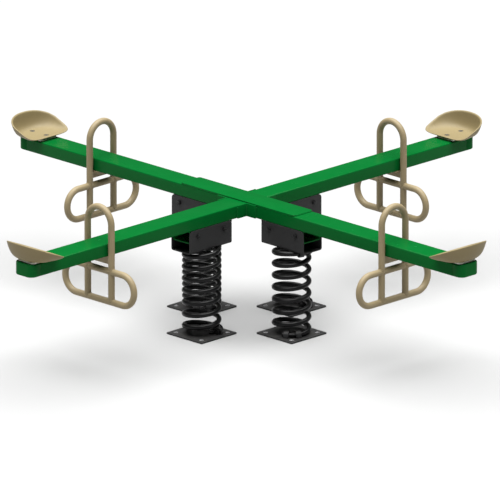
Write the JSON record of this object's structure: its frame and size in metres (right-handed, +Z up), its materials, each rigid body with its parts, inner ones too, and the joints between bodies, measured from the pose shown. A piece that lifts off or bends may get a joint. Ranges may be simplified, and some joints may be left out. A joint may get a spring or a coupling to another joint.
{
  "type": "spring seesaw",
  "caption": "Crossed-beam playground seesaw on coil springs, with dished seats, hoop handles and foot loops at the ends of its arms.",
  "frame": {"origin": "on the ground under the crossing of the beams", "axes": "+Z up; +X along the long beam towards the east arm; +Y along the north arm"},
  "size_m": [2.438, 2.438, 0.6375],
  "materials": {
    "green_paint": "gloss",
    "tan_tube": "satin",
    "seat_shell": "satin",
    "seat_pad": "matt",
    "black_steel": "satin",
    "spring_steel": "gloss",
    "zinc_bolt": "satin"
  },
  "bodies": {
    "base": {"base_plate_east": "black_steel", "base_plate_north": "black_steel", "base_plate_west": "black_steel", "base_plate_south": "black_steel", "lower_clips": "black_steel", "lower_clip_bolts": "zinc_bolt"},
    "bounce_springs": {"spring_east": "spring_steel", "spring_west": "spring_steel"},
    "roll_springs": {"spring_north": "spring_steel", "spring_south": "spring_steel"},
    "frame": {"beam_long": "green_paint", "beam_north": "green_paint", "beam_south": "green_paint", "hub_plate": "green_paint", "corner_angles": "green_paint", "end_cap_east": "green_paint", "end_cap_north": "green_paint", "end_cap_west": "green_paint", "end_cap_south": "green_paint", "seat_east": "seat_shell", "seat_north": "seat_shell", "seat_west": "seat_shell", "seat_south": "seat_shell", "seat_pad_east": "seat_pad", "seat_pad_north": "seat_pad", "seat_pad_west": "seat_pad", "seat_pad_south": "seat_pad", "handle_hoop_east": "tan_tube", "handle_hoop_north": "tan_tube", "handle_hoop_west": "tan_tube", "handle_hoop_south": "tan_tube", "foot_loop_east": "tan_tube", "foot_loop_north": "tan_tube", "foot_loop_west": "tan_tube", "foot_loop_south": "tan_tube", "foot_crossbar_east": "tan_tube", "foot_crossbar_north": "tan_tube", "foot_crossbar_west": "tan_tube", "foot_crossbar_south": "tan_tube", "handle_angle_east": "tan_tube", "handle_angle_north": "tan_tube", "handle_angle_west": "tan_tube", "handle_angle_south": "tan_tube", "spring_lug_east": "green_paint", "spring_lug_north": "green_paint", "spring_lug_west": "green_paint", "spring_lug_south": "green_paint", "spring_bracket_east": "black_steel", "spring_bracket_north": "black_steel", "spring_bracket_west": "black_steel", "spring_bracket_south": "black_steel", "seat_bolts": "zinc_bolt", "seat_nuts": "zinc_bolt", "handle_bolts": "zinc_bolt", "bracket_bolts": "zinc_bolt", "bracket_nuts": "zinc_bolt", "upper_clips": "black_steel", "upper_clip_bolts": "zinc_bolt", "upper_clip_nuts": "zinc_bolt"}
  },
  "joints": [
    {"name": "bounce", "type": "slide", "parent": "base", "child": "bounce_springs", "axis": [0, 0, 1], "range_m": [-0.02, 0.01], "stiffness_N_per_m": 315000, "springref_m": 0.0034, "deforming": ["spring_east", "spring_north", "spring_west", "spring_south"]},
    {"name": "rock_east_west", "type": "hinge", "parent": "bounce_springs", "child": "roll_springs", "pos_m": [0, 0, 0.1775], "axis": [0, 1, 0], "range_deg": [-8, 8], "stiffness_Nm_per_rad": 10400, "deforming": ["spring_east", "spring_north", "spring_west", "spring_south"]},
    {"name": "rock_north_south", "type": "hinge", "parent": "roll_springs", "child": "frame", "pos_m": [0, 0, 0.1775], "axis": [1, 0, 0], "range_deg": [-8, 8], "stiffness_Nm_per_rad": 10400, "deforming": ["spring_east", "spring_north", "spring_west", "spring_south"]}
  ]
}
